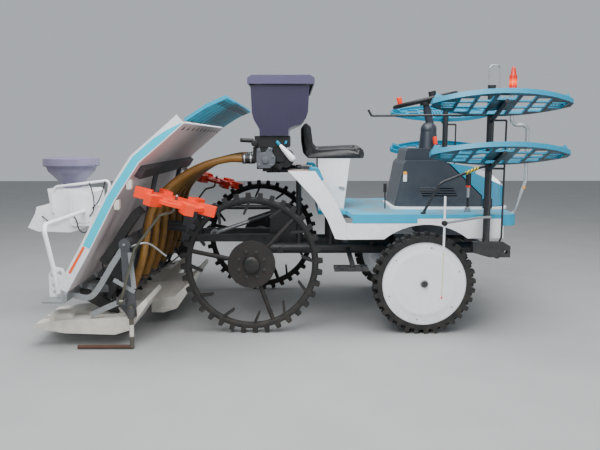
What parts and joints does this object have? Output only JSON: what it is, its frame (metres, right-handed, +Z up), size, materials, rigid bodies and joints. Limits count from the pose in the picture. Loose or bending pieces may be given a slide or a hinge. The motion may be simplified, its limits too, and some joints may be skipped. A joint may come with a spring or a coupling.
{
  "type": "rice transplanter",
  "caption": "Riding rice transplanter with lugged wheels, lifting planting unit, sliding seedling platform, floats, line markers, hoppers and spare seedling racks.",
  "frame": {"origin": "middle of the machine's overall box, on the ground", "axes": "+X forward, +Y to the left, +Z up"},
  "size_m": [3.5414, 2.313, 1.7499],
  "materials": {
    "dark_metal": "satin",
    "charcoal_plastic": "satin",
    "turquoise_plastic": "gloss",
    "white_panel": "gloss",
    "white_metal": "gloss",
    "silver_metal": "brushed",
    "grey_casting": "cast, painted",
    "block": "rough",
    "tyre_rubber": "matt",
    "black_rubber": "matt",
    "black_plastic": "matt",
    "seat_vinyl": "grained vinyl",
    "tinted_plastic": "clear, tinted",
    "pale_tinted_plastic": "clear, tinted",
    "tan_hose": "satin",
    "lamp_glass": "clear",
    "orange_plastic": "gloss",
    "beacon_orange": "clear orange",
    "float_plastic": "satin",
    "zinc": "zinc plated"
  },
  "bodies": {
    "chassis": {"main_frame": "dark_metal", "engine_block": "block", "front_axle_case": "dark_metal", "rear_axle_case": "dark_metal", "floor_deck": "turquoise_plastic", "side_skirts": "white_panel", "rear_fenders": "white_panel", "hood": "charcoal_plastic", "hood_base": "white_panel", "steering_column": "charcoal_plastic", "levers": "black_plastic", "seat_base": "white_panel", "seat": "seat_vinyl", "fertiliser_hopper": "tinted_plastic", "metering_unit": "black_plastic", "hoses": "tan_hose", "rack_posts": "dark_metal", "guide_bar": "dark_metal", "seedling_racks": "turquoise_plastic", "front_rail": "silver_metal", "beacon": "beacon_orange", "side_markers": "white_metal"},
    "bonnet": {"bonnet": "turquoise_plastic", "headlamps": "lamp_glass"},
    "steering_wheel": {"steering_wheel": "black_plastic"},
    "hopper_lid": {"hopper_lid": "tinted_plastic"},
    "knuckle_left": {"knuckle_left": "dark_metal"},
    "knuckle_right": {"knuckle_right": "dark_metal"},
    "track_rod": {"track_rod": "silver_metal"},
    "front_wheel_left": {"front_tyre_left": "tyre_rubber", "front_disc_left": "white_metal"},
    "front_wheel_right": {"front_tyre_right": "tyre_rubber", "front_disc_right": "white_metal"},
    "rear_wheel_left": {"rear_ring_left": "tyre_rubber", "rear_hub_left": "dark_metal"},
    "rear_wheel_right": {"rear_ring_right": "tyre_rubber", "rear_hub_right": "dark_metal"},
    "lower_links": {"lower_links": "dark_metal"},
    "upper_link": {"upper_link": "dark_metal"},
    "lift_barrel": {"lift_barrel": "dark_metal"},
    "lift_rod": {"lift_rod": "silver_metal"},
    "planting_unit": {"planting_frame": "grey_casting", "floats": "float_plastic", "platform_rail": "silver_metal", "applicator_frame": "white_metal", "applicator_hopper": "pale_tinted_plastic"},
    "planters": {"planters": "black_plastic"},
    "platform": {"seedling_platform": "white_panel", "platform_extension": "turquoise_plastic"},
    "marker_arm_left": {"marker_arm_left": "zinc"},
    "marker_arm_right": {"marker_arm_right": "zinc"},
    "marker_rotor_left": {"marker_rotor_left": "orange_plastic"},
    "marker_rotor_right": {"marker_rotor_right": "orange_plastic"},
    "stand_left": {"stand_left": "zinc"},
    "stand_right": {"stand_right": "zinc"},
    "applicator_lid": {"applicator_lid": "pale_tinted_plastic"}
  },
  "joints": [
    {"name": "left_steer", "type": "hinge", "parent": "chassis", "child": "knuckle_left", "pos_m": [0.92, 0.49, 0.4], "axis": [0, 0, 1], "range_deg": [-38, 38]},
    {"name": "right_steer", "type": "hinge", "parent": "chassis", "child": "knuckle_right", "pos_m": [0.92, -0.49, 0.4], "axis": [0, 0, 1], "range_deg": [-38, 38]},
    {"name": "track_rod_slide", "type": "slide", "parent": "chassis", "child": "track_rod", "axis": [0, 1, 0], "range_m": [-0.09, 0.09]},
    {"name": "steering_wheel_turn", "type": "hinge", "parent": "chassis", "child": "steering_wheel", "pos_m": [1.024, 0, 1.503], "axis": [-0.225, 0, 0.9744], "range_deg": [-380, 380]},
    {"name": "front_left_spin", "type": "hinge", "parent": "knuckle_left", "child": "front_wheel_left", "pos_m": [0.92, 0.6, 0.325], "axis": [0, 1, 0], "continuous": true},
    {"name": "front_right_spin", "type": "hinge", "parent": "knuckle_right", "child": "front_wheel_right", "pos_m": [0.92, -0.6, 0.325], "axis": [0, 1, 0], "continuous": true},
    {"name": "rear_left_spin", "type": "hinge", "parent": "chassis", "child": "rear_wheel_left", "pos_m": [-0.17, 0.6, 0.45], "axis": [0, 1, 0], "continuous": true},
    {"name": "rear_right_spin", "type": "hinge", "parent": "chassis", "child": "rear_wheel_right", "pos_m": [-0.17, -0.6, 0.45], "axis": [0, 1, 0], "continuous": true},
    {"name": "lift", "type": "hinge", "parent": "chassis", "child": "lower_links", "pos_m": [-0.036, 0, 0.545], "axis": [0, 1, 0], "range_deg": [0, 42], "deforming": ["hoses"]},
    {"name": "upper_link_turn", "type": "hinge", "parent": "chassis", "child": "upper_link", "pos_m": [-0.036, 0, 0.745], "axis": [0, 1, 0], "range_deg": [0, 42]},
    {"name": "hitch_turn", "type": "hinge", "parent": "lower_links", "child": "planting_unit", "pos_m": [-0.61, 0, 0.545], "axis": [0, 1, 0], "range_deg": [-42, 0]},
    {"name": "barrel_turn", "type": "hinge", "parent": "chassis", "child": "lift_barrel", "pos_m": [0.052, 0.055, 0.728], "axis": [0, 1, 0], "range_deg": [0, 35]},
    {"name": "rod_slide", "type": "slide", "parent": "lift_barrel", "child": "lift_rod", "axis": [0.9487, 0, 0.3162], "range_m": [0, 0.1321]},
    {"name": "planting_turn", "type": "hinge", "parent": "planting_unit", "child": "planters", "pos_m": [-1.1, 0, 0.25], "axis": [0, 1, 0], "continuous": true},
    {"name": "platform_slide", "type": "slide", "parent": "planting_unit", "child": "platform", "axis": [0, 1, 0], "range_m": [-0.13, 0.13]},
    {"name": "left_marker_swing", "type": "hinge", "parent": "planting_unit", "child": "marker_arm_left", "pos_m": [-0.91, 0.94, 0.29], "axis": [-1, 0, 0], "range_deg": [0, 95]},
    {"name": "right_marker_swing", "type": "hinge", "parent": "planting_unit", "child": "marker_arm_right", "pos_m": [-0.91, -0.94, 0.29], "axis": [1, 0, 0], "range_deg": [0, 95]},
    {"name": "left_rotor_spin", "type": "hinge", "parent": "marker_arm_left", "child": "marker_rotor_left", "pos_m": [-0.579, 0.94, 0.877], "axis": [0.2588, 0, 0.9659], "continuous": true},
    {"name": "right_rotor_spin", "type": "hinge", "parent": "marker_arm_right", "child": "marker_rotor_right", "pos_m": [-0.579, -0.94, 0.877], "axis": [0.2588, 0, 0.9659], "continuous": true},
    {"name": "left_stand_slide", "type": "slide", "parent": "planting_unit", "child": "stand_left", "axis": [0, 0, 1], "range_m": [0, 0.15]},
    {"name": "right_stand_slide", "type": "slide", "parent": "planting_unit", "child": "stand_right", "axis": [0, 0, 1], "range_m": [0, 0.15]},
    {"name": "bonnet_lift", "type": "hinge", "parent": "chassis", "child": "bonnet", "pos_m": [1.152, 0, 1.068], "axis": [0, -1, 0], "range_deg": [0, 60]},
    {"name": "hopper_lid_lift", "type": "hinge", "parent": "chassis", "child": "hopper_lid", "pos_m": [0.226, 0, 1.569], "axis": [0, 1, 0], "range_deg": [0, 85]},
    {"name": "applicator_lid_lift", "type": "hinge", "parent": "planting_unit", "child": "applicator_lid", "pos_m": [-1.685, 0, 1.047], "axis": [0, -1, 0], "range_deg": [0, 100]}
  ],
  "couplings": [
    {"joint": "right_steer", "follows": "left_steer", "ratio": 1},
    {"joint": "track_rod_slide", "follows": "left_steer", "m_per_rad": -0.125},
    {"joint": "steering_wheel_turn", "follows": "left_steer", "ratio": 10},
    {"joint": "upper_link_turn", "follows": "lift", "ratio": 1},
    {"joint": "hitch_turn", "follows": "lift", "ratio": -1},
    {"joint": "barrel_turn", "follows": "lift", "ratio": 0.821},
    {"joint": "rod_slide", "follows": "lift", "m_per_rad": 0.1775}
  ]
}
